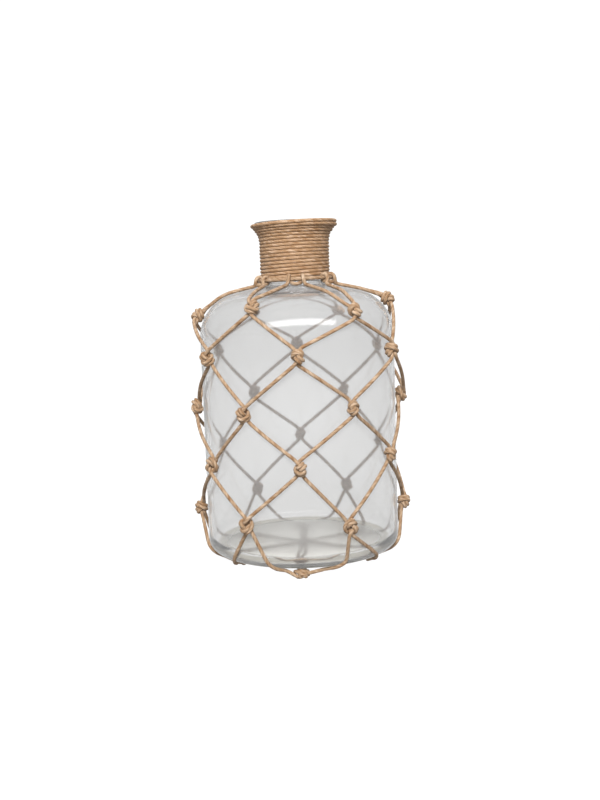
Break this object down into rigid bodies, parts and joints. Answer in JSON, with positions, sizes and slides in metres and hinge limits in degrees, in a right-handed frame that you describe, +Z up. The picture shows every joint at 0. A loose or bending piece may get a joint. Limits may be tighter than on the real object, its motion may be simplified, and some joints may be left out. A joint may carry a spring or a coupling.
{
  "type": "netted glass bottle",
  "caption": "Clear glass bottle with a rounded shoulder and short flared neck, its neck wound with cord and its body held in a hand-knotted cord net.",
  "frame": {"origin": "middle of the base, on the surface that the bottle stands on", "axes": "+Z up along the bottle's axis; -Y is the front, where a column of knots lies; +X to the right seen from the front"},
  "size_m": [0.175, 0.175, 0.2656],
  "materials": {
    "glass": "clear, glossy, faintly grey-green where it is thick",
    "wrap_cord": "matt, thin twisted cord",
    "net_cord": "matt, twisted cord"
  },
  "bodies": {
    "root": {"bottle": "glass", "neck_wrap": "wrap_cord", "collar_cord": "net_cord", "net_cord_1": "net_cord", "net_cord_2": "net_cord", "net_cord_3": "net_cord", "net_cord_4": "net_cord", "net_cord_5": "net_cord", "net_cord_6": "net_cord", "base_net": "net_cord"}
  },
  "joints": []
}
